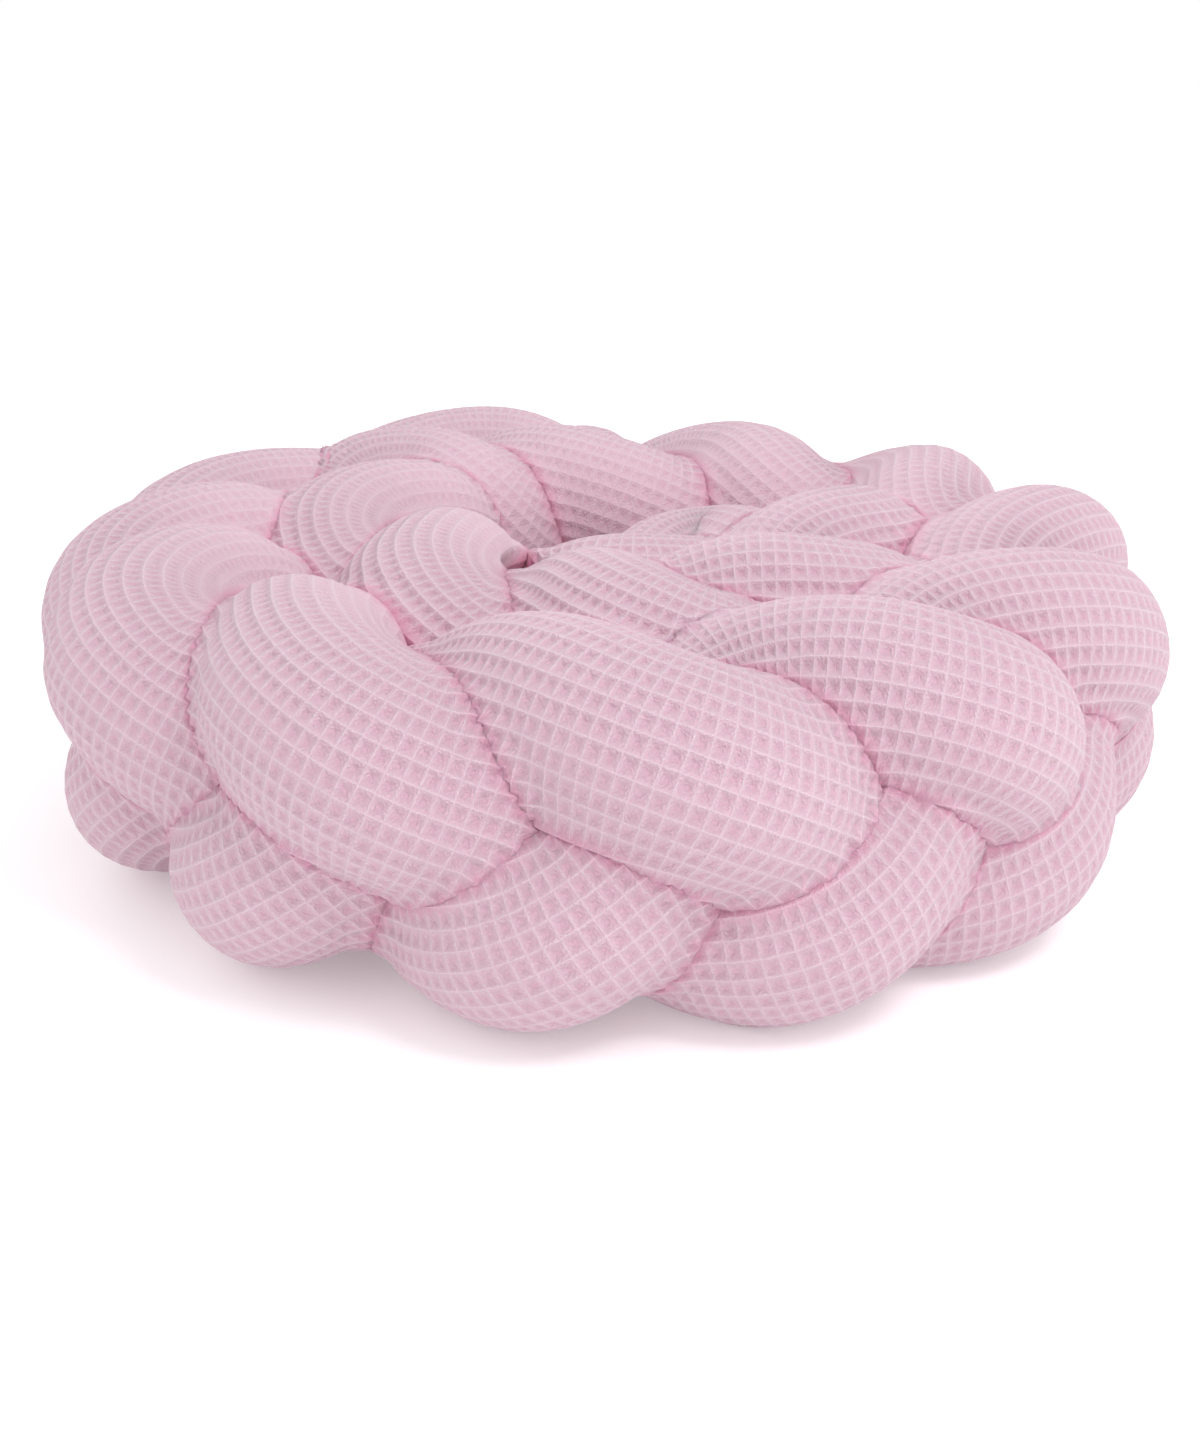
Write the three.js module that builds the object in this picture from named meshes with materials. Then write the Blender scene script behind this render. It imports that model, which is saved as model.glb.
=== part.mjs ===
// A braided crib bumper: three stuffed cloth tubes plaited flat, with the braid stood on its edge and coiled
// inwards like a nest. Millimetres, +Z up, the front towards -Y. The origin is on the floor, under the middle
// of the part's box.
import * as THREE from "three";

// Sizes of one strand, a tube of cloth round its filling
const STRAND_RADIUS = 45; // where nothing presses it
const END_ROUNDING = 0.5; // of a crest spacing, over which a strand's end closes

// Sizes of the braid
const BRAID_HEIGHT = 171; // from the floor to the top edge
const FLATTENING = 3.5; // how far the floor presses in the strands that lie on it
const DEPTH_SWING = 26; // how far a strand swings to each face of the braid
const STRANDS = 3;

// Where the coil's axis stands from the origin
const AXIS = { x: -1.5, y: -25.7 };

// How finely the strands are drawn, and the room kept between two of them at their facets
const SIDES = 16;
const STEPS_PER_CREST = 8;
const ROOM = 4.3;

// The braid's path, with a row for each place where a strand crests the top edge, from the outer end inwards.
// bearing: degrees round the axis from the front, growing to the right. reach: from the axis to the braid's
// middle. lean: how far its top edge stands out past its middle, and its lower edge in. rake: how far its top
// edge lies back along the path, and its lower edge forward. swing: how widely it is plaited, as a share of full.
const CRESTS = [
  { bearing: 175, reach: 290, lean: 0, rake: 0, swing: 0.5 },
  { bearing: 195, reach: 285, lean: 0, rake: 0, swing: 0.83 },
  { bearing: 238, reach: 237, lean: 0, rake: 6, swing: 0.86 },
  { bearing: 271, reach: 212, lean: 3, rake: 16, swing: 1 },
  { bearing: 297, reach: 217, lean: 6, rake: 17, swing: 1 },
  { bearing: 328.5, reach: 222, lean: 3, rake: 13, swing: 1 },
  { bearing: 359, reach: 231, lean: 2, rake: 4, swing: 1 },
  { bearing: 386, reach: 228, lean: 0, rake: -10, swing: 1 },
  { bearing: 413.5, reach: 222, lean: 2, rake: -13, swing: 1 },
  { bearing: 448.5, reach: 222, lean: 1, rake: -10, swing: 1 },
  { bearing: 478, reach: 217, lean: 0, rake: -4, swing: 1 },
  { bearing: 513.5, reach: 208, lean: 0, rake: 0, swing: 1 },
  { bearing: 546, reach: 175, lean: 0, rake: 0, swing: 1 },
  { bearing: 575, reach: 187, lean: 0, rake: 0, swing: 1.1 },
  { bearing: 602, reach: 146, lean: 0, rake: 0, swing: 1 },
  { bearing: 664, reach: 102, lean: 0, rake: 0, swing: 1 },
  { bearing: 722, reach: 132, lean: 0, rake: 0, swing: 1 },
  { bearing: 762, reach: 126, lean: 0, rake: 0, swing: 1 },
  { bearing: 812, reach: 127, lean: 0, rake: 0, swing: 1 },
  { bearing: 840, reach: 78, lean: 0, rake: 0, swing: 0.6 },
  { bearing: 750, reach: 31, lean: 0, rake: 0, swing: 0.6 },
  { bearing: 675, reach: 72, lean: 0, rake: 0, swing: 0.6 },
];
const LAST_CREST = CRESTS.length - 1;

// Colour and surface of the waffle-weave cotton
const COTTON = { color: 0xdcb4c6, roughness: 0.95, metalness: 0 };

const LOWEST_CENTRE = STRAND_RADIUS - FLATTENING;
const HEIGHT_SWING = (BRAID_HEIGHT - STRAND_RADIUS - LOWEST_CENTRE) / 2;
const MIDDLE_HEIGHT = LOWEST_CENTRE + HEIGHT_SWING;
const UP = new THREE.Vector3(0, 0, 1);

const curveThrough = (points) => new THREE.CatmullRomCurve3(points, false, "catmullrom", 0.5);
const path = curveThrough(
  CRESTS.map(({ bearing, reach }) => {
    const angle = THREE.MathUtils.degToRad(bearing);
    return new THREE.Vector3(AXIS.x + reach * Math.sin(angle), AXIS.y - reach * Math.cos(angle), 0);
  }),
);
const stance = curveThrough(CRESTS.map(({ lean, rake, swing }) => new THREE.Vector3(lean, rake, swing)));

// The middle of a strand at a place along the braid, counted in crests from the outer end. The strand rises and
// falls once in three crests, and swings to the outer face on its way down and to the inner face on its way up.
function strandCentre(strand, place) {
  const share = THREE.MathUtils.clamp(place / LAST_CREST, 0, 1);
  const step = 1e-3;
  const ahead = path.getPoint(Math.min(share + step, 1));
  const behind = path.getPoint(Math.max(share - step, 0));
  const forward = ahead.sub(behind).normalize();
  const outward = forward.clone().cross(UP);
  const { x: lean, y: rake, z: swing } = stance.getPoint(share);
  const phase = (2 * Math.PI * (place - strand)) / STRANDS;
  return path
    .getPoint(share)
    .addScaledVector(forward, -rake * Math.cos(phase))
    .addScaledVector(outward, lean * Math.cos(phase) + swing * DEPTH_SWING * Math.sin(2 * phase))
    .addScaledVector(UP, MIDDLE_HEIGHT + swing * HEIGHT_SWING * Math.cos(phase));
}

// Points close together along every strand's middle, which tell how near a neighbour is.
const TRACE_PER_CREST = 30;
const trace = [];
for (let strand = 0; strand < STRANDS; strand++) {
  for (let i = 0; i <= LAST_CREST * TRACE_PER_CREST; i++) {
    const place = i / TRACE_PER_CREST;
    trace.push({ strand, place, at: strandCentre(strand, place) });
  }
}

// The neighbours that can press on a strand at one place: the other strands, and its own next turn of the coil.
function neighboursOf(strand, place, centre) {
  const ownTurn = 2;
  const reach = 2 * STRAND_RADIUS + ROOM;
  return trace.filter(
    (point) =>
      (point.strand !== strand || Math.abs(point.place - place) > ownTurn) &&
      point.at.distanceTo(centre) < reach,
  );
}

// How far a strand reaches from its middle in one direction: its full radius, or as far as halfway to a
// neighbour's middle, or down to the floor.
function radiusTowards(direction, centre, fullRadius, neighbours) {
  let radius = fullRadius;
  for (const { at } of neighbours) {
    const to = at.clone().sub(centre);
    const facing = to.dot(direction) + ROOM;
    if (facing > 0) radius = Math.min(radius, (to.lengthSq() - ROOM * ROOM) / (2 * facing));
  }
  if (direction.z < 0) radius = Math.min(radius, centre.z / -direction.z);
  return radius;
}

// The radius that a strand has with nothing beside it: full along its length, and rounded off to its ends.
function openRadius(place) {
  const fromEnd = Math.min(place, LAST_CREST - place) / END_ROUNDING;
  const short = 1 - Math.min(fromEnd, 1);
  return STRAND_RADIUS * Math.sqrt(1 - short * short);
}

// One strand as a closed mesh: rings of points along its middle, and a point at each end.
function strandMesh(strand) {
  const vertices = [];
  const triangles = [];
  const rings = LAST_CREST * STEPS_PER_CREST;
  vertices.push(...strandCentre(strand, 0));
  for (let i = 1; i < rings; i++) {
    const place = i / STEPS_PER_CREST;
    const centre = strandCentre(strand, place);
    const nearby = 0.01;
    const along = strandCentre(strand, place + nearby).sub(strandCentre(strand, place - nearby)).normalize();
    const side = along.clone().cross(UP).normalize();
    const top = side.clone().cross(along);
    const neighbours = neighboursOf(strand, place, centre);
    for (let j = 0; j < SIDES; j++) {
      const angle = (2 * Math.PI * j) / SIDES;
      const direction = side.clone().multiplyScalar(Math.cos(angle)).addScaledVector(top, Math.sin(angle));
      const radius = radiusTowards(direction, centre, openRadius(place), neighbours);
      vertices.push(...centre.clone().addScaledVector(direction, radius));
    }
  }
  vertices.push(...strandCentre(strand, LAST_CREST));

  const vertexAt = (ring, side) => 1 + (ring - 1) * SIDES + (side % SIDES);
  const lastVertex = vertices.length / 3 - 1;
  for (let j = 0; j < SIDES; j++) {
    triangles.push(0, vertexAt(1, j), vertexAt(1, j + 1));
    for (let i = 1; i < rings - 1; i++) {
      triangles.push(vertexAt(i, j), vertexAt(i + 1, j), vertexAt(i, j + 1));
      triangles.push(vertexAt(i + 1, j), vertexAt(i + 1, j + 1), vertexAt(i, j + 1));
    }
    triangles.push(vertexAt(rings - 1, j), lastVertex, vertexAt(rings - 1, j + 1));
  }

  const geometry = new THREE.BufferGeometry();
  geometry.setAttribute("position", new THREE.Float32BufferAttribute(vertices, 3));
  geometry.setIndex(triangles);
  geometry.computeVertexNormals();
  const mesh = new THREE.Mesh(geometry, new THREE.MeshStandardMaterial(COTTON));
  mesh.name = "strand_" + (strand + 1);
  return mesh;
}

const bumper = new THREE.Group();
for (let strand = 0; strand < STRANDS; strand++) bumper.add(strandMesh(strand));

export default bumper;
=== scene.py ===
"""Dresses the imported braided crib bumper: three stuffed strands of waffle cotton, coiled on a pale floor."""

import logging
import math
import sys
from dataclasses import dataclass
from enum import Enum

import bpy
import numpy as np
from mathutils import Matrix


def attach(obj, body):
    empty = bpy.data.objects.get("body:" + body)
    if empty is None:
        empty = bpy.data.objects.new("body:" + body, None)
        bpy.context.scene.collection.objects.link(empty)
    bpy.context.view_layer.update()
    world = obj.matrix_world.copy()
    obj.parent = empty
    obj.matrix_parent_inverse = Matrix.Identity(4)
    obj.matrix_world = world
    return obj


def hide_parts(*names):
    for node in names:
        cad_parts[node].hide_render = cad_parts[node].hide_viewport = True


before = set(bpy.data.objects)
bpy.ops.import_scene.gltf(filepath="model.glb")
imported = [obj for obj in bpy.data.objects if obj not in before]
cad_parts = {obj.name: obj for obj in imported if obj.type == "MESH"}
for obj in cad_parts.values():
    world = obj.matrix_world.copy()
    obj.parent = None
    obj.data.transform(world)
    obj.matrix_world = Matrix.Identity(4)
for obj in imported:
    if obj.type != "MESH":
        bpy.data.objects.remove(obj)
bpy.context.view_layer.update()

LOG = logging.getLogger("bumper")
UP = np.array([0.0, 0.0, 1.0])
MM = 0.001
TINY = 1e-9  # keeps a division from failing at 0
FAR = 1e6  # further than any strand, in millimetres
CELL_MAP = "Waffle"  # the mesh's map, counted in cells of the weave

Socket = bpy.types.NodeSocket
Colour = tuple[float, float, float]
Point = tuple[float, float, float]
Span = tuple[float, float]  # where a step leaves 0, and where it reaches 1


class Column(Enum):
    """The columns of the crest table."""

    BEARING = 0
    REACH = 1
    LEAN = 2
    RAKE = 3
    SWING = 4


class ClothValue(Enum):
    """What the mesh tells its material about each point of the cloth, from 0 to 1."""

    CREASE = "crease"
    GATHER = "gather"
    WEAVE = "weave"


class Rise(Enum):
    """How a step in the material rises."""

    SOFT = "SMOOTHSTEP"
    STRAIGHT = "LINEAR"


class LampRole(Enum):
    """What a studio lamp is for."""

    KEY = "key"
    BACK = "back"


def unit(vectors: np.ndarray) -> np.ndarray:
    """Vectors scaled to a length of one."""
    return vectors / np.maximum(np.linalg.norm(vectors, axis=-1, keepdims=True), TINY)


def smooth_step(value: np.ndarray, span: Span) -> np.ndarray:
    """A soft step from 0 to 1.

    Args:
        value: Numbers to judge.
        span: Where the step leaves 0, and where it reaches 1.

    Returns:
        Numbers from 0 to 1.
    """
    low, high = span
    share = np.clip((value - low) / (high - low), 0.0, 1.0)
    return share * share * (3.0 - 2.0 * share)


def curve_through(points: np.ndarray, place: np.ndarray) -> np.ndarray:
    """A smooth curve through a row of points.

    Args:
        points: One row of numbers for each whole place.
        place: Where to read the curve, counted in points.

    Returns:
        One row of numbers for each place.
    """
    last = len(points) - 1
    place = np.clip(place, 0.0, last)
    padded = np.concatenate([[2 * points[0] - points[1]], points, [2 * points[-1] - points[-2]]])
    index = np.minimum(place.astype(int), last - 1)
    share = (place - index)[:, None]
    before, start, end, after = (padded[index + k] for k in range(4))
    leave, arrive = (end - before) / 2, (after - start) / 2
    cubic = 2 * start - 2 * end + leave + arrive
    square = -3 * start + 3 * end - 2 * leave - arrive
    return ((cubic * share + square) * share + leave) * share + start


def turn_towards(obj: bpy.types.Object, target: Point) -> None:
    """Turns a lamp or camera towards a point.

    Args:
        obj: What turns.
        target: The point that it faces.
    """
    look = np.array(target) - np.array(obj.location)
    turn = math.atan2(look[0], look[1])
    tilt = math.atan2(math.hypot(look[0], look[1]), -look[2])
    obj.rotation_euler = (tilt, 0.0, -turn)


@dataclass(frozen=True)
class ClothNodes:
    """The nodes of one material, with a short way to add each kind."""

    tree: bpy.types.NodeTree

    def feed(self, socket: Socket, value: Socket | float | tuple[float, ...]) -> None:
        """Gives an input its value.

        Args:
            socket: The input.
            value: Another node's result, or a plain value.
        """
        if isinstance(value, Socket):
            self.tree.links.new(value, socket)
        else:
            socket.default_value = value

    def cells(self) -> Socket:
        """Reads the mesh's map.

        Returns:
            The place in the weave, counted in cells round the strand and along it.
        """
        node = self.tree.nodes.new("ShaderNodeUVMap")
        node.uv_map = CELL_MAP
        return node.outputs["UV"]

    def read(self, which: ClothValue) -> Socket:
        """Reads one of the mesh's own values.

        Args:
            which: The value.

        Returns:
            The value at each point.
        """
        node = self.tree.nodes.new("ShaderNodeAttribute")
        node.attribute_name = which.value
        return node.outputs["Fac"]

    def noise(self, place: Socket, scale: float, detail: float) -> Socket:
        """Adds a fine noise.

        Args:
            place: Where it is read.
            scale: How many times it swings over a length of one.
            detail: How many finer layers it has.

        Returns:
            The noise, from 0 to 1.
        """
        node = self.tree.nodes.new("ShaderNodeTexNoise")
        self.feed(node.inputs["Vector"], place)
        self.feed(node.inputs["Scale"], scale)
        self.feed(node.inputs["Detail"], detail)
        return node.outputs["Fac"]

    def step(self, value: Socket, span: Span, rise: Rise = Rise.SOFT) -> Socket:
        """Adds a step from 0 to 1.

        Args:
            value: The value that is judged.
            span: Where the step leaves 0, and where it reaches 1.
            rise: How it rises.

        Returns:
            The step's result.
        """
        node = self.tree.nodes.new("ShaderNodeMapRange")
        node.interpolation_type = rise.value
        self.feed(node.inputs["Value"], value)
        self.feed(node.inputs["From Min"], span[0])
        self.feed(node.inputs["From Max"], span[1])
        return node.outputs["Result"]

    def math(self, operation: str, *values: Socket | float) -> Socket:
        """Adds one sum.

        Args:
            operation: The sum's kind.
            values: Its inputs.

        Returns:
            The sum's result.
        """
        node = self.tree.nodes.new("ShaderNodeMath")
        node.operation = operation
        for socket, value in zip(node.inputs, values):
            self.feed(socket, value)
        return node.outputs["Value"]

    def mix(self, share: Socket, first: Socket | Colour, second: Socket | Colour) -> Socket:
        """Mixes two colours.

        Args:
            share: How much of the second colour shows.
            first: The first colour.
            second: The second colour.

        Returns:
            The mixed colour.
        """
        node = self.tree.nodes.new("ShaderNodeMix")
        node.data_type = "RGBA"
        self.feed(node.inputs["Factor"], share)
        for name, colour in (("A", first), ("B", second)):
            self.feed(node.inputs[name], colour if isinstance(colour, Socket) else (*colour, 1.0))
        return node.outputs["Result"]

    def bump(self, height: Socket, depth: float) -> Socket:
        """Adds a fine relief.

        Args:
            height: How high the surface lies at each point, in shares of the depth.
            depth: The relief's depth in metres.

        Returns:
            The surface's direction with the relief.
        """
        node = self.tree.nodes.new("ShaderNodeBump")
        self.feed(node.inputs["Height"], height)
        self.feed(node.inputs["Strength"], 1.0)
        self.feed(node.inputs["Distance"], depth)
        return node.outputs["Normal"]


@dataclass(frozen=True)
class ClothSigns:
    """What the material knows of each point of the cloth, all from 0 to 1."""

    line: Socket  # 0 on a ridge's crest, and 1 beside it
    wall: Socket  # 0 on a ridge, and 1 at the bottom of a cell
    row: Socket  # 0 at the edges of a lengthwise row of cells, and 1 along its middle
    fuzz: Socket  # the loose threads of the nap
    crease: Socket  # how deep the point lies in a crease between two strands
    gather: Socket  # how gathered the cloth is
    weave: Socket  # how clearly the weave shows


@dataclass(frozen=True)
class WaffleCotton:
    """Pale pink waffle-weave cotton: ridged cells and a soft nap, coloured with painted highlight on the
    ridges and nap and painted shade in the hollows and creases.
    """

    name: str = "waffle_cotton"

    # Colours of the cells' ridges, lighter for a painted highlight, and of their hollows, darker for painted
    # shade; of the nap, its paler threads with a painted highlight; and of the creases, painted shade
    ridge: Colour = (0.76, 0.56, 0.637)
    hollow: Colour = (0.685, 0.415, 0.515)
    nap: Colour = (0.84, 0.73, 0.78)
    crease: Colour = (0.77, 0.26, 0.42)

    # How the cloth takes light, and how much of it goes through
    roughness: float = 0.78
    shine: float = 0.4
    sheen: float = 0.3
    sheen_roughness: float = 0.5
    light_reach: float = 0.005  # how far light spreads in the cloth, in metres
    light_spread: Colour = (1.0, 0.45, 0.6)  # the share of that reach for red, green and blue light
    glow_through: float = 0.25
    crease_glow: float = 0.6

    # The weave, in cells from the middle of a ridge: its crest, which carries the painted highlight, and a
    # hollow's wall, and then the threads
    half_cell: float = 0.5
    ridge_crest: Span = (0.01, 0.06)
    hollow_wall: Span = (0.0, 0.42)
    threads_per_cell: float = 7.0
    thread_detail: float = 2.0
    fuzz: Span = (0.35, 0.75)

    # The relief's depth in metres, and the furrow along a row of cells and the nap in shares of that depth
    depth: float = 0.0022
    furrow: float = 0.35
    gathered_furrow: float = 1.3
    nap_height: float = 0.2

    # How the tones are shared out: painted highlight on a ridge's crest and painted shade down a cell's wall,
    # the nap's painted highlight, and the creases' painted shade in gathered cloth
    crest_highlight_share: float = 0.45
    wall_shade_share: float = 0.55
    mean_sunk: float = 0.55  # where the weave is too faint to see
    nap_and_highlight_on_ridge: float = 0.5
    nap_and_highlight_in_hollow: float = 0.1
    # Painted shade in gathered cloth, towards the creases' colour
    gather_shade: float = 0.1
    row_shade: float = 0.12  # more of it along the middle of a row

    def material(self) -> bpy.types.Material:
        """Builds the cloth's material.

        Returns:
            A material that reads its cells from the mesh's map, and its creases and gathers from the mesh.
        """
        cloth = bpy.data.materials.new(self.name)
        cloth.use_nodes = True
        shader = cloth.node_tree.nodes["Principled BSDF"]
        shader.inputs["Roughness"].default_value = self.roughness
        shader.inputs["Specular IOR Level"].default_value = self.shine
        shader.inputs["Sheen Weight"].default_value = self.sheen
        shader.inputs["Sheen Roughness"].default_value = self.sheen_roughness
        shader.inputs["Subsurface Radius"].default_value = self.light_spread
        shader.inputs["Subsurface Scale"].default_value = self.light_reach
        nodes = ClothNodes(cloth.node_tree)
        signs = self.signs(nodes)
        nodes.feed(shader.inputs["Subsurface Weight"], self.glow(nodes, signs))
        nodes.feed(shader.inputs["Normal"], nodes.bump(self.height(nodes, signs), self.depth))
        nodes.feed(shader.inputs["Base Color"], self.tone(nodes, signs))
        return cloth

    def signs(self, nodes: ClothNodes) -> ClothSigns:
        """Works out what the material needs to know of each point.

        Args:
            nodes: The material's nodes.

        Returns:
            The place in the weave and the mesh's own values.
        """
        cells = nodes.cells()
        split = nodes.tree.nodes.new("ShaderNodeSeparateXYZ")
        nodes.feed(split.inputs["Vector"], cells)
        across, along = (nodes.math("PINGPONG", split.outputs[axis], self.half_cell) for axis in ("X", "Y"))
        inner = nodes.math("MINIMUM", across, along)
        threads = nodes.noise(cells, self.threads_per_cell, self.thread_detail)
        return ClothSigns(
            line=nodes.step(inner, self.ridge_crest),
            wall=nodes.step(inner, self.hollow_wall, Rise.STRAIGHT),
            row=nodes.step(across, (0.0, self.half_cell)),
            fuzz=nodes.step(threads, self.fuzz),
            crease=nodes.read(ClothValue.CREASE),
            gather=nodes.read(ClothValue.GATHER),
            weave=nodes.read(ClothValue.WEAVE),
        )

    def height(self, nodes: ClothNodes, signs: ClothSigns) -> Socket:
        """Works out the fine relief of hollows, furrows and nap.

        Args:
            nodes: The material's nodes.
            signs: What is known of each point.

        Returns:
            The height, in shares of the relief's depth.
        """
        furrow = nodes.math("MULTIPLY_ADD", signs.gather, -self.gathered_furrow, -self.furrow)
        furrow = nodes.math("MULTIPLY", signs.row, furrow)
        sunken = nodes.math("SUBTRACT", furrow, signs.wall)
        nap = nodes.math("MULTIPLY", signs.fuzz, self.nap_height)
        return nodes.math("MULTIPLY_ADD", sunken, signs.weave, nap)

    def tone(self, nodes: ClothNodes, signs: ClothSigns) -> Socket:
        """Works out the colour: painted highlight on the ridges, and painted shade in the hollows, the gathers
        and the deepest creases.

        Args:
            nodes: The material's nodes.
            signs: What is known of each point.

        Returns:
            The colour.
        """
        # Painted highlight on the ridges' crests and painted shade down the cells' walls, towards the hollows
        wall = nodes.math("MULTIPLY", signs.wall, self.wall_shade_share)
        sunk = nodes.math("MULTIPLY_ADD", signs.line, self.crest_highlight_share, wall)
        sunk = nodes.math("SUBTRACT", sunk, self.mean_sunk)
        sunk = nodes.math("MULTIPLY_ADD", sunk, signs.weave, self.mean_sunk)
        tone = nodes.mix(sunk, self.ridge, self.hollow)
        # The nap's paler threads, with a painted highlight that is strongest on the ridges and faint in the
        # hollows
        nap_and_highlight = nodes.math("MULTIPLY_ADD", sunk, self.nap_and_highlight_in_hollow - self.nap_and_highlight_on_ridge, self.nap_and_highlight_on_ridge)
        tone = nodes.mix(nodes.math("MULTIPLY", signs.fuzz, nap_and_highlight), tone, self.nap)
        # Painted shade: deeper pink in the creases and along the rows of gathered cloth
        fold_shade = nodes.math("MULTIPLY_ADD", signs.row, self.row_shade, self.gather_shade)
        fold_shade = nodes.math("MULTIPLY", signs.gather, fold_shade)
        return nodes.mix(nodes.math("MAXIMUM", signs.crease, fold_shade), tone, self.crease)

    def glow(self, nodes: ClothNodes, signs: ClothSigns) -> Socket:
        """Works out how much light goes through the cloth, which is most in the creases."""
        more = self.crease_glow - self.glow_through
        return nodes.math("MULTIPLY_ADD", signs.crease, more, self.glow_through)


@dataclass(frozen=True)
class ClothNoise:
    """Soft unevenness over a strand's cloth, closed round its girth."""

    seed: int  # of the first strand, and one more for each next one
    along: int  # how many times it can swing along the strand
    around: int  # and round it

    def read(self, strand: int, share_along: np.ndarray, share_around: np.ndarray) -> np.ndarray:
        """Reads the noise over a grid.

        Args:
            strand: The strand's number, from 0.
            share_along: Shares of the strand's length, 0 to 1.
            share_around: Shares of its girth, 0 to 1.

        Returns:
            A grid of numbers between about -1 and 1.
        """
        draws = np.random.default_rng(self.seed + strand)
        knots = draws.uniform(-1, 1, (self.along + 2, self.around))
        x = share_along[:, None] * self.along
        y = share_around[None, :] * self.around
        row, column = x.astype(int), y.astype(int)
        along, around = smooth_step(x - row, (0, 1)), smooth_step(y - column, (0, 1))
        column, beside = column % self.around, (column + 1) % self.around
        here = knots[row, column] * (1 - around) + knots[row, beside] * around
        ahead = knots[row + 1, column] * (1 - around) + knots[row + 1, beside] * around
        return here * (1 - along) + ahead * along


@dataclass(frozen=True)
class BraidPath:
    """The coiled braid's course and the way its three strands swing about it, in millimetres."""

    strand_radius: float = 45.0  # where nothing presses it
    end_rounding: float = 0.5  # of a crest spacing, over which a strand's end closes
    braid_height: float = 171.0
    flattening: float = 3.5  # how far the floor presses in the strands that lie on it
    depth_swing: float = 26.0  # how far a strand swings to each face of the braid
    strands: int = 3
    axis: Point = (-1.5, -25.7, 0.0)
    look_ahead: float = 0.001  # of the path, ahead and behind, over which its direction is taken

    # The path, with a row for each place where a strand crests the top edge, from the outer end inwards.
    # Bearing: degrees round the axis from the front, growing to the right. Reach: from the axis to the
    # braid's middle. Lean: how far its top edge stands out past its middle, and its lower edge in. Rake: how
    # far its top edge lies back along the path, and its lower edge forward. Swing: how widely it is plaited.
    crests: tuple[tuple[float, ...], ...] = (
        (175, 290, 0, 0, 0.5),
        (195, 285, 0, 0, 0.83),
        (238, 237, 0, 6, 0.86),
        (271, 212, 3, 16, 1),
        (297, 217, 6, 17, 1),
        (328.5, 222, 3, 13, 1),
        (359, 231, 2, 4, 1),
        (386, 228, 0, -10, 1),
        (413.5, 222, 2, -13, 1),
        (448.5, 222, 1, -10, 1),
        (478, 217, 0, -4, 1),
        (513.5, 208, 0, 0, 1),
        (546, 175, 0, 0, 1),
        (575, 187, 0, 0, 1.1),
        (602, 146, 0, 0, 1),
        (664, 102, 0, 0, 1),
        (722, 132, 0, 0, 1),
        (762, 126, 0, 0, 1),
        (812, 127, 0, 0, 1),
        (840, 78, 0, 0, 0.6),
        (750, 31, 0, 0, 0.6),
        (675, 72, 0, 0, 0.6),
    )

    @property
    def last(self) -> int:
        """The last crest's number."""
        return len(self.crests) - 1

    def column(self, which: Column) -> np.ndarray:
        """One column of the crest table."""
        return np.array([row[which.value] for row in self.crests], float)

    def course(self) -> np.ndarray:
        """The crest table with a point in place of each bearing and reach.

        Returns:
            One row for each crest: its point at floor level, its lean, its rake and its swing.
        """
        bearing = np.radians(self.column(Column.BEARING))
        reach = self.column(Column.REACH)
        x = self.axis[0] + reach * np.sin(bearing)
        y = self.axis[1] - reach * np.cos(bearing)
        stance = (self.column(which) for which in (Column.LEAN, Column.RAKE, Column.SWING))
        return np.stack([x, y, np.zeros(len(reach)), *stance], axis=1)

    def middles(self, strand: int, place: np.ndarray) -> np.ndarray:
        """The middle of a strand.

        Args:
            strand: The strand's number, from 0.
            place: Places along the braid, counted in crests.

        Returns:
            One point for each place.
        """
        course = self.course()
        step = self.look_ahead * self.last
        here = curve_through(course, place)
        ahead, behind = curve_through(course, place + step), curve_through(course, place - step)
        forward = unit(ahead[:, :3] - behind[:, :3])
        outward = np.cross(forward, UP)
        lean, rake, swing = here[:, 3:].T
        low = self.strand_radius - self.flattening
        rise = (self.braid_height - self.strand_radius - low) / 2
        phase = 2 * math.pi * (place - strand) / self.strands
        back = rake * np.cos(phase)
        aside = lean * np.cos(phase) + swing * self.depth_swing * np.sin(2 * phase)
        height = low + rise + swing * rise * np.cos(phase)
        return here[:, :3] + outward * aside[:, None] - forward * back[:, None] + UP * height[:, None]

    def open_radius(self, place: np.ndarray) -> np.ndarray:
        """The radius of a strand with nothing beside it, rounded off to its ends.

        Args:
            place: Places along the braid, counted in crests.

        Returns:
            One radius for each place.
        """
        from_end = np.minimum(place, self.last - place) / self.end_rounding
        short = 1 - np.clip(from_end, 0.0, 1.0)
        return self.strand_radius * np.sqrt(1 - short * short)


@dataclass(frozen=True)
class Trace:
    """Points close together along the middles of all strands."""

    points: np.ndarray
    strand: np.ndarray
    place: np.ndarray
    stout: np.ndarray  # 0 at a strand's ends and 1 from a little further in


@dataclass(frozen=True)
class Rings:
    """The rings that a strand's cloth is drawn in, with a ray from the middle to each point."""

    place: np.ndarray
    middle: np.ndarray
    rays: np.ndarray
    inside: np.ndarray  # how sharply the middle bends towards each ray, as 1 over the bend's radius
    open_radius: np.ndarray


@dataclass(frozen=True)
class Skin:
    """A pressed tube before its relief."""

    grid: np.ndarray
    near: np.ndarray  # how near a neighbour is, with 1 where the full radius reaches it
    weave: np.ndarray  # how clearly the weave shows


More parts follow.
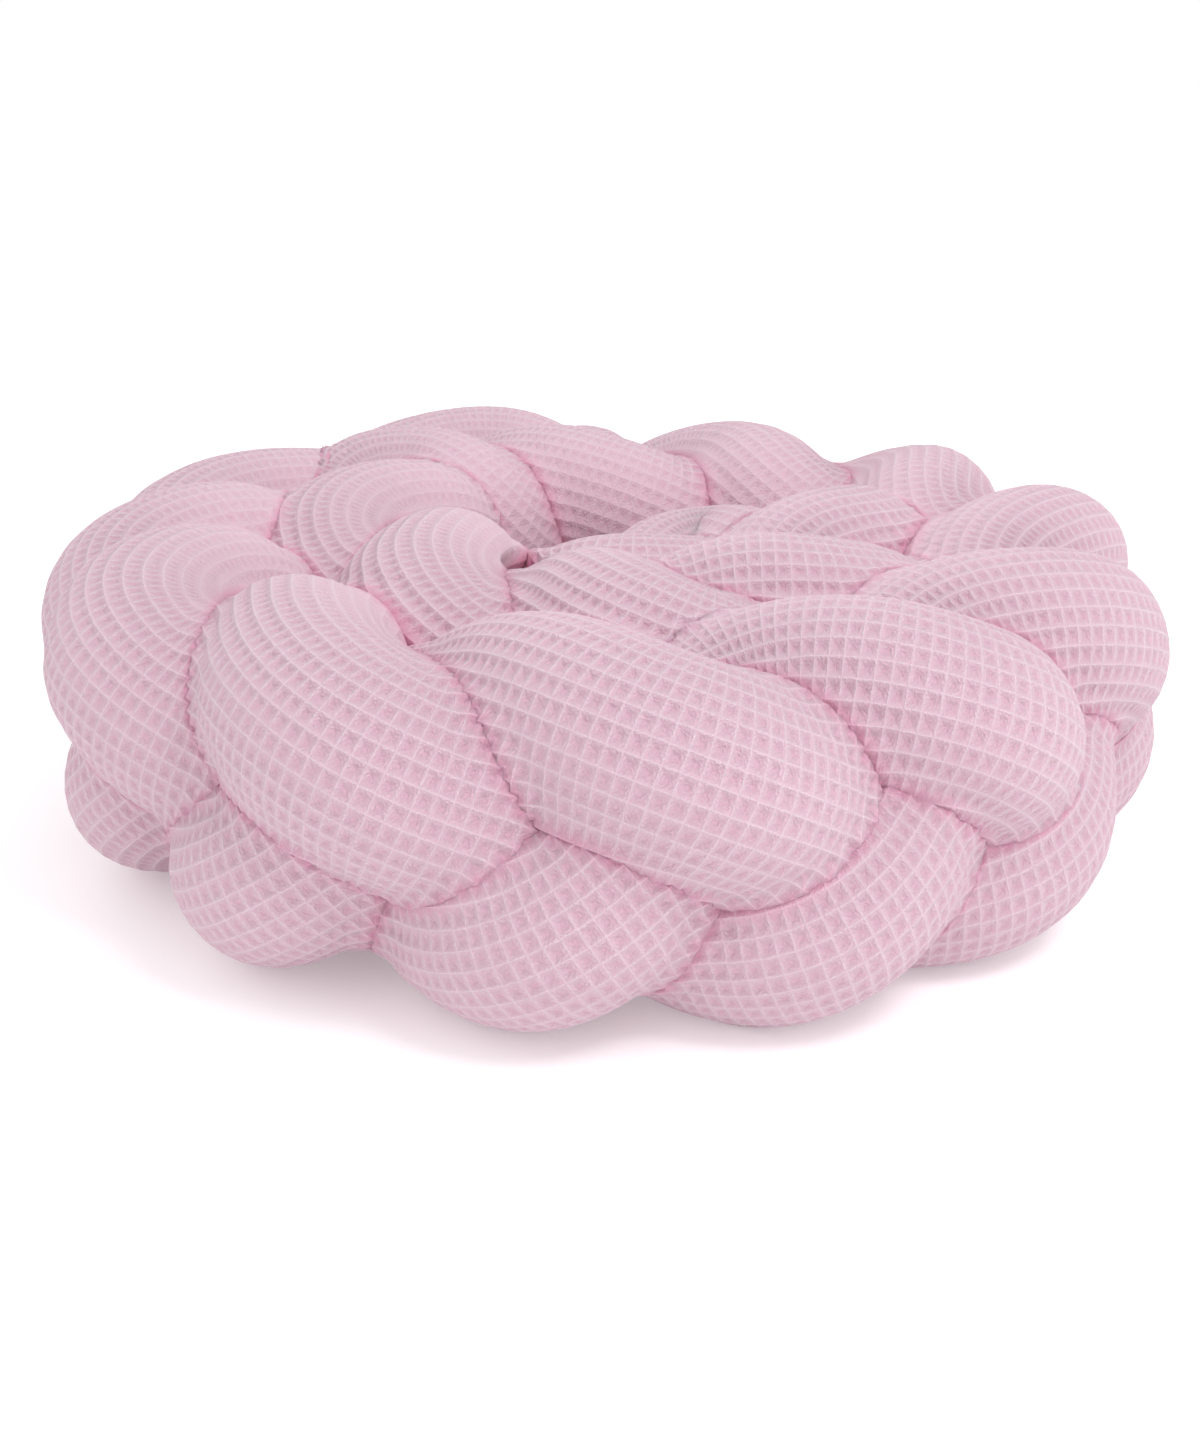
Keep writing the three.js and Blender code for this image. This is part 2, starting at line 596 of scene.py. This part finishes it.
@dataclass
class StuffedStrand:
    """One stuffed tube of waffle cotton, pressed by its neighbours and the floor, in millimetres."""

    number: int
    path: BraidPath

    # The weave's cells, even along the outside of each bend, and the points that they are drawn with
    cell: float = 6.4
    cells_around: int = 32
    points_per_cell: int = 2
    outside_share: float = 0.7  # of the strand's radius, at which the cells are even
    end_margin: float = 0.004  # crests left free before the first ring
    samples: int = 6000
    smoothing: int = 121  # samples over which a bend is evened out
    look_ahead: float = 0.01  # crests ahead and behind, over which a strand's direction is taken

    # How neighbours press on the strand
    gap: float = -2.4  # between two pressed skins, and below 0 where they press into each other
    noticed_within: float = 135.0
    own_turn: float = 2.0  # crests, within which a strand doesn't press on itself
    near_turn: float = 4.5  # crests, within which a strand still belongs to this turn of the coil
    trace_per_crest: int = 30
    pressing: float = 28.0  # the higher, the sharper a pressed face's edges
    swell: float = 0.12  # of the radius, beside a contact
    bend_share: float = 0.97  # of a bend's own radius, which the cloth inside it may take
    end_fade: Span = (0.1, 0.6)  # crests from an end, over which contact begins to count

    # How near a neighbour is, with 1 where the full radius reaches it. The steps say where the cloth swells,
    # gathers and creases, and where its unevenness and its relief are pressed flat.
    least_near: float = 0.25  # where there is none
    swells_at: Span = (0.67, 0.95)
    gathers_at: Span = (0.55, 1.0)
    creases_at: Span = (0.74, 0.98)
    lumps_end: Span = (0.55, 0.9)
    relief_ends: Span = (0.78, 0.92)

    # Where the weave is faint: at the rounded ends, in sharp bends and on faces towards the coil's middle
    woven_from: Span = (8.0, 25.0)  # the radius of an end
    bunched_at: Span = (0.2, 0.75)  # the strand's radius over the bend's
    bunched_loss: float = 0.8
    faces_out: Span = (-0.7, 0.3)  # from -1 towards the coil's middle to 1 away from it
    inner_loss: float = 0.55

    # The relief: hollows, lengthwise ribs, pleats where the strand dives under another, and soft unevenness
    cell_depth: float = 0.8
    rib_depth: float = 0.2
    gathered_rib_depth: float = 0.6
    gather_most: float = 0.75
    dive_slope: float = 25.0  # how soon the cloth gathers as a neighbour comes nearer from ring to ring
    pleats_around: int = 11
    pleat_depth: float = 1.5
    pleat_sharpness: float = 1.5
    pleat_drift: float = 0.8  # how many of their widths the pleats wander
    drift: ClothNoise = ClothNoise(23, 60, 3)
    unevenness: float = 1.4
    lumps: ClothNoise = ClothNoise(11, 90, 7)

    @property
    def name(self) -> str:
        """The name of the strand's cloth."""
        return f"cloth_strand_{self.number + 1}"

    def from_ends(self, place: np.ndarray) -> np.ndarray:
        """How far a place is from a strand's ends, as a soft step from 0 to 1."""
        return smooth_step(np.minimum(place, self.path.last - place), self.end_fade)

    def trace(self) -> Trace:
        """Traces all strands.

        Returns:
            Points along the strands' middles.
        """
        count = self.path.last * self.trace_per_crest + 1
        place = np.linspace(0, self.path.last, count)
        points = np.concatenate([self.path.middles(k, place) for k in range(self.path.strands)])
        strand = np.repeat(np.arange(self.path.strands), count)
        place = np.tile(place, self.path.strands)
        return Trace(points, strand, place, self.from_ends(place))

    def even_places(self) -> np.ndarray:
        """Places of the rings, which make the cells even along the outside of each bend.

        Returns:
            One place for each ring.
        """
        place = np.linspace(self.end_margin, self.path.last - self.end_margin, self.samples)
        moved = np.gradient(self.path.middles(self.number, place), axis=0)
        step = np.linalg.norm(moved, axis=1)
        turning = np.linalg.norm(np.gradient(unit(moved), axis=0), axis=1)
        soft = np.hanning(self.smoothing)
        turning = np.convolve(turning, soft / soft.sum(), "same")
        length = np.cumsum(step + self.outside_share * self.path.strand_radius * turning)
        rings = int(length[-1] / self.cell) * self.points_per_cell
        LOG.info("%s: %.2f m long, %d rings", self.name, step.sum() * MM, rings)
        return np.interp(np.linspace(length[0], length[-1], rings), length, place)

    def rings(self) -> Rings:
        """Lays out the rings, whose rays follow the middle without twisting, as the rows of cells do.

        Returns:
            The rings.
        """
        place = self.even_places()
        middle = self.path.middles(self.number, place)
        ahead = self.path.middles(self.number, place + self.look_ahead)
        behind = self.path.middles(self.number, place - self.look_ahead)
        along = unit(ahead - behind)
        step = np.linalg.norm(ahead - behind, axis=1, keepdims=True) / 2
        bend = (ahead + behind - 2 * middle) / (step * step)
        side = unit(np.cross(along, UP))
        top = np.cross(side, along)
        twist = -np.cumsum((np.gradient(side, axis=0) * top).sum(1))
        columns = self.cells_around * self.points_per_cell
        turn = twist[:, None] + np.linspace(0, 2 * math.pi, columns, endpoint=False)[None]
        rays = side[:, None] * np.cos(turn)[..., None] + top[:, None] * np.sin(turn)[..., None]
        return Rings(place, middle, rays, (rays * bend[:, None]).sum(-1), self.path.open_radius(place))

    def press(self, rings: Rings, ring: int, trace: Trace) -> tuple[np.ndarray, np.ndarray]:
        """Presses one ring against its neighbours and the floor.

        The radius along a ray is the soft least of the limits that the neighbours, the swollen strand itself
        and its bend set to it. The near and the far turns of each strand press one by one.

        Args:
            rings: The strand's rings.
            ring: The ring's number.
            trace: Points along all strands.

        Returns:
            The radius along each ray, and how near a neighbour is there.
        """
        middle, rays, full = rings.middle[ring], rings.rays[ring], rings.open_radius[ring]
        away = trace.points - middle
        apart = np.abs(trace.place - rings.place[ring])
        close = (away * away).sum(1) < self.noticed_within**2
        close &= (trace.strand != self.number) | (apart > self.own_turn)
        turn = trace.strand * 2 + (apart > self.near_turn)
        total = np.zeros(len(rays))
        near = np.full(len(rays), self.least_near)
        for one in np.unique(turn[close]):
            chosen = close & (turn == one)
            to = away[chosen]
            # The cloth lies where the neighbour's middle is further off than the strand's own by the gap.
            facing = rays @ to.T + self.gap
            square = (to * to).sum(1) - self.gap**2
            limits = np.where(facing > 0, square / (2 * np.maximum(facing, TINY)), FAR)
            limit = limits.min(1)
            total += limit**-self.pressing
            near = np.maximum(near, full / limit * trace.stout[chosen][limits.argmin(1)])
        swollen = full * (1 + self.swell * smooth_step(near, self.swells_at))
        total += swollen**-self.pressing
        total += np.maximum(rings.inside[ring] / self.bend_share, TINY) ** self.pressing
        down = -rays[:, 2]
        floor = np.where(down > TINY, middle[2] / np.maximum(down, TINY), FAR)
        radius = np.minimum(total ** (-1 / self.pressing), floor)
        return radius, np.maximum(near, full * rings.inside[ring])

    def weave_shown(self, rings: Rings) -> np.ndarray:
        """How clearly the weave shows.

        Args:
            rings: The strand's rings.

        Returns:
            A grid of numbers from 0 to 1.
        """
        plain = smooth_step(rings.open_radius, self.woven_from)[:, None]
        bunched = smooth_step(rings.open_radius[:, None] * rings.inside, self.bunched_at)
        outwards = unit((rings.middle - self.path.axis) * [1.0, 1.0, 0.0])
        inner = 1 - smooth_step((rings.rays * outwards[:, None]).sum(-1), self.faces_out)
        return plain * (1 - self.bunched_loss * bunched) * (1 - self.inner_loss * inner)

    def skin(self) -> Skin:
        """Presses the whole tube.

        Returns:
            The tube before its relief.
        """
        rings, trace = self.rings(), self.trace()
        pressed = [self.press(rings, ring, trace) for ring in range(len(rings.place))]
        radius, near = (np.array(part) for part in zip(*pressed))
        grid = rings.middle[:, None] + rings.rays * radius[..., None]
        return Skin(grid, near * self.from_ends(rings.place)[:, None], self.weave_shown(rings))

    def relief(self, near: np.ndarray) -> tuple[np.ndarray, np.ndarray]:
        """How far the cloth lies out from the tube: its cells, its ribs, its pleats and its unevenness.

        Args:
            near: How near a neighbour is to each point.

        Returns:
            A grid of heights, and how gathered the cloth is at each point.
        """
        rows, columns = near.shape
        share_along, share_around = np.linspace(0, 1, rows), np.arange(columns) / columns
        lumps = self.lumps.read(self.number, share_along, share_around)
        drift = self.drift.read(self.number, share_along, share_around)
        diving = np.clip(np.abs(np.gradient(near, axis=0)) * self.dive_slope, 0.0, 1.0)
        gather = self.gather_most * smooth_step(near, self.gathers_at) * diving
        mid_row, mid_column = (np.arange(count) % self.points_per_cell == 1 for count in near.shape)
        hollows = self.cell_depth * (mid_row[:, None] & mid_column)
        ribs = mid_column * (self.rib_depth + self.gathered_rib_depth * gather)
        pleat = self.pleats_around * share_around + self.pleat_drift * drift
        wave = 0.5 - 0.5 * np.cos(2 * math.pi * pleat)
        pleats = self.pleat_depth * gather * wave**self.pleat_sharpness
        free = 1 - smooth_step(near, self.lumps_end)
        apart = 1 - smooth_step(near, self.relief_ends)
        return self.unevenness * lumps * free - (hollows + ribs + pleats) * apart, gather

    def build(self) -> bpy.types.Object:
        """Builds the strand's cloth as one closed mesh.

        Returns:
            The object, in metres.
        """
        skin = self.skin()
        height, gather = self.relief(skin.near)
        mesh = self.closed_mesh(self.raised(skin, height))
        self.map_cells(mesh, *height.shape)
        # How deep each point lies in a crease: the material turns it deeper pink there as painted shade, and
        # lets more light through
        self.keep_value(mesh, ClothValue.CREASE, smooth_step(skin.near, self.creases_at))
        self.keep_value(mesh, ClothValue.GATHER, gather)
        self.keep_value(mesh, ClothValue.WEAVE, skin.weave)
        mesh.validate()
        obj = bpy.data.objects.new(self.name, mesh)
        bpy.context.scene.collection.objects.link(obj)
        return obj

    @staticmethod
    def raised(skin: Skin, height: np.ndarray) -> np.ndarray:
        """Gives the skin its relief, down to the floor at most.

        Args:
            skin: The pressed tube.
            height: How far each point lies out from it.

        Returns:
            A grid of points in rings.
        """
        forward = np.gradient(skin.grid, axis=0)
        across = np.roll(skin.grid, -1, axis=1) - np.roll(skin.grid, 1, axis=1)
        outward = unit(np.cross(forward, across))
        grid = skin.grid + outward * (height * skin.weave)[..., None]
        grid[..., 2] = np.maximum(grid[..., 2], 0.0)
        return grid

    def closed_mesh(self, grid: np.ndarray) -> bpy.types.Mesh:
        """Joins the rings with faces, and closes each end to a point.

        Args:
            grid: The points in rings.

        Returns:
            The mesh, in metres.
        """
        rows, columns = grid.shape[:2]
        ends = self.path.middles(self.number, np.array([0.0, self.path.last]))
        points = np.concatenate([grid.reshape(-1, 3), ends]) * MM
        index = np.arange(rows * columns).reshape(rows, columns)
        beside = np.roll(index, -1, axis=1)
        quads = np.stack([index[:-1], index[1:], beside[1:], beside[:-1]], axis=-1).reshape(-1, 4)
        first, last = (np.full(columns, rows * columns + end) for end in range(2))
        first_cap = np.stack([first, index[0], beside[0]], axis=1)
        last_cap = np.stack([last, beside[-1], index[-1]], axis=1)
        mesh = bpy.data.meshes.new(self.name)
        mesh.from_pydata(points.tolist(), [], quads.tolist() + first_cap.tolist() + last_cap.tolist())
        mesh.polygons.foreach_set("use_smooth", np.ones(len(mesh.polygons), bool))
        return mesh

    def map_cells(self, mesh: bpy.types.Mesh, rows: int, columns: int) -> None:
        """Gives the cloth a map counted in its cells.

        Args:
            mesh: The strand's mesh.
            rows: How many rings it has.
            columns: How many points each ring has.
        """
        cells = mesh.uv_layers.new(name=CELL_MAP)
        corner = np.empty(len(mesh.loops), int)
        mesh.loops.foreach_get("vertex_index", corner)
        along, around = corner // columns, corner % columns
        # A quad that closes its ring counts on past the last column.
        corners = 4
        seam = np.tile(np.arange(columns) == columns - 1, rows - 1).repeat(corners)
        closing = np.zeros(len(corner), bool)
        closing[: len(seam)] = seam & (around[: len(seam)] == 0)
        around = around + closing * columns
        uv = np.stack([around, along], axis=1) / self.points_per_cell
        cells.data.foreach_set("uv", uv.astype(np.float32).reshape(-1))

    @staticmethod
    def keep_value(mesh: bpy.types.Mesh, which: ClothValue, grid: np.ndarray) -> None:
        """Keeps a value of each ring point on the mesh for its material, with 0 at the two end points."""
        values = np.append(grid.reshape(-1), [0.0, 0.0]).astype(np.float32)
        mesh.attributes.new(which.value, "FLOAT", "POINT").data.foreach_set("value", values)

    def dress(self, obj: bpy.types.Object, cloth: bpy.types.Material) -> None:
        """Gives the strand its cloth and its body, and hides the imported part that it stands for.

        Args:
            obj: The built strand.
            cloth: Its material.
        """
        node = f"strand_{self.number + 1}"
        obj.data.materials.append(cloth)
        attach(obj, "root")
        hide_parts(node)


@dataclass(frozen=True)
class SoftLamp:
    """One square lamp, in metres and watts."""

    role: LampRole
    at: Point
    size: float
    power: float

    def build(self, target: Point) -> bpy.types.Object:
        """Hangs the lamp.

        Args:
            target: The point that it faces.

        Returns:
            The lamp.
        """
        light = bpy.data.lights.new(self.role.value, "AREA")
        light.shape = "SQUARE"
        light.size = self.size
        light.energy = self.power
        lamp = bpy.data.objects.new(self.role.value, light)
        lamp.location = self.at
        turn_towards(lamp, target)
        bpy.context.scene.collection.objects.link(lamp)
        return lamp


@dataclass(frozen=True)
class PaleFloor:
    """The pale floor, in metres, with a faint glow that keeps the ground white."""

    reach: float = 40.0
    tone: float = 0.97
    glow: float = 0.2
    roughness: float = 0.9
    shine: float = 0.1

    def material(self) -> bpy.types.Material:
        """Mixes the floor's paint.

        Returns:
            The paint.
        """
        paint = bpy.data.materials.new("pale_floor")
        paint.use_nodes = True
        shader = paint.node_tree.nodes["Principled BSDF"]
        shader.inputs["Base Color"].default_value = (self.tone, self.tone, self.tone, 1.0)
        shader.inputs["Roughness"].default_value = self.roughness
        shader.inputs["Specular IOR Level"].default_value = self.shine
        shader.inputs["Emission Color"].default_value = (1.0, 1.0, 1.0, 1.0)
        shader.inputs["Emission Strength"].default_value = self.glow
        return paint

    def build(self) -> bpy.types.Object:
        """Lays the floor.

        Returns:
            The floor, which isn't part of the object.
        """
        mesh = bpy.data.meshes.new("floor")
        sides = ((-1, -1), (1, -1), (1, 1), (-1, 1))
        corners = [(self.reach * x, self.reach * y, 0.0) for x, y in sides]
        mesh.from_pydata(corners, [], [(0, 1, 2, 3)])
        mesh.materials.append(self.material())
        floor = bpy.data.objects.new("floor", mesh)
        bpy.context.scene.collection.objects.link(floor)
        return floor


@dataclass(frozen=True)
class Studio:
    """The floor, the camera, the soft lamps and the plain sky, in metres."""

    floor: PaleFloor = PaleFloor()

    # The camera faces the target from the front, with its lens and sensor in millimetres
    target: Point = (-0.0015, -0.0405, 0.04937)
    distance: float = 0.93434
    elevation: float = 0.35681  # above the target, in radians
    lens: float = 52.198
    sensor_width: float = 36.0

    # The lamps, the point that they face, and the sky's strength
    lamps: tuple[SoftLamp, ...] = (
        SoftLamp(LampRole.KEY, (0.7, -0.8, 1.5), 0.5, 9.0),
        SoftLamp(LampRole.BACK, (0.3, 1.2, 1.4), 1.0, 1.0),
    )
    lit_point: Point = (0.0, 0.0, 0.08)
    sky: float = 1.0

    def build_camera(self) -> bpy.types.Object:
        """Sets up the camera at the photograph's viewing angle.

        Returns:
            The camera.
        """
        lens = bpy.data.cameras.new("camera")
        lens.sensor_fit = "HORIZONTAL"
        lens.sensor_width = self.sensor_width
        lens.lens = self.lens
        camera = bpy.data.objects.new("camera", lens)
        x, y, z = self.target
        back, up = self.distance * math.cos(self.elevation), self.distance * math.sin(self.elevation)
        camera.location = (x, y - back, z + up)
        turn_towards(camera, self.target)
        bpy.context.scene.collection.objects.link(camera)
        bpy.context.scene.camera = camera
        return camera

    def build_sky(self) -> bpy.types.World:
        """Sets up the plain white sky.

        Returns:
            The sky.
        """
        world = bpy.data.worlds.new("sky")
        world.use_nodes = True
        background = world.node_tree.nodes["Background"]
        background.inputs["Color"].default_value = (1.0, 1.0, 1.0, 1.0)
        background.inputs["Strength"].default_value = self.sky
        bpy.context.scene.world = world
        return world

    def build(self) -> None:
        """Builds the whole studio."""
        self.floor.build()
        self.build_camera()
        for lamp in self.lamps:
            lamp.build(self.lit_point)
        self.build_sky()
        bpy.context.scene.view_settings.view_transform = "Standard"


def main() -> None:
    """Builds the studio and the three strands."""
    logging.basicConfig(level=logging.INFO, stream=sys.stdout, format="%(message)s")
    Studio().build()
    LOG.info("studio ready")
    cloth = WaffleCotton().material()
    path = BraidPath()
    for number in range(path.strands):
        strand = StuffedStrand(number, path)
        obj = strand.build()
        strand.dress(obj, cloth)
        LOG.info("%s: %d faces", obj.name, len(obj.data.polygons))


if __name__ == "__main__":
    main()
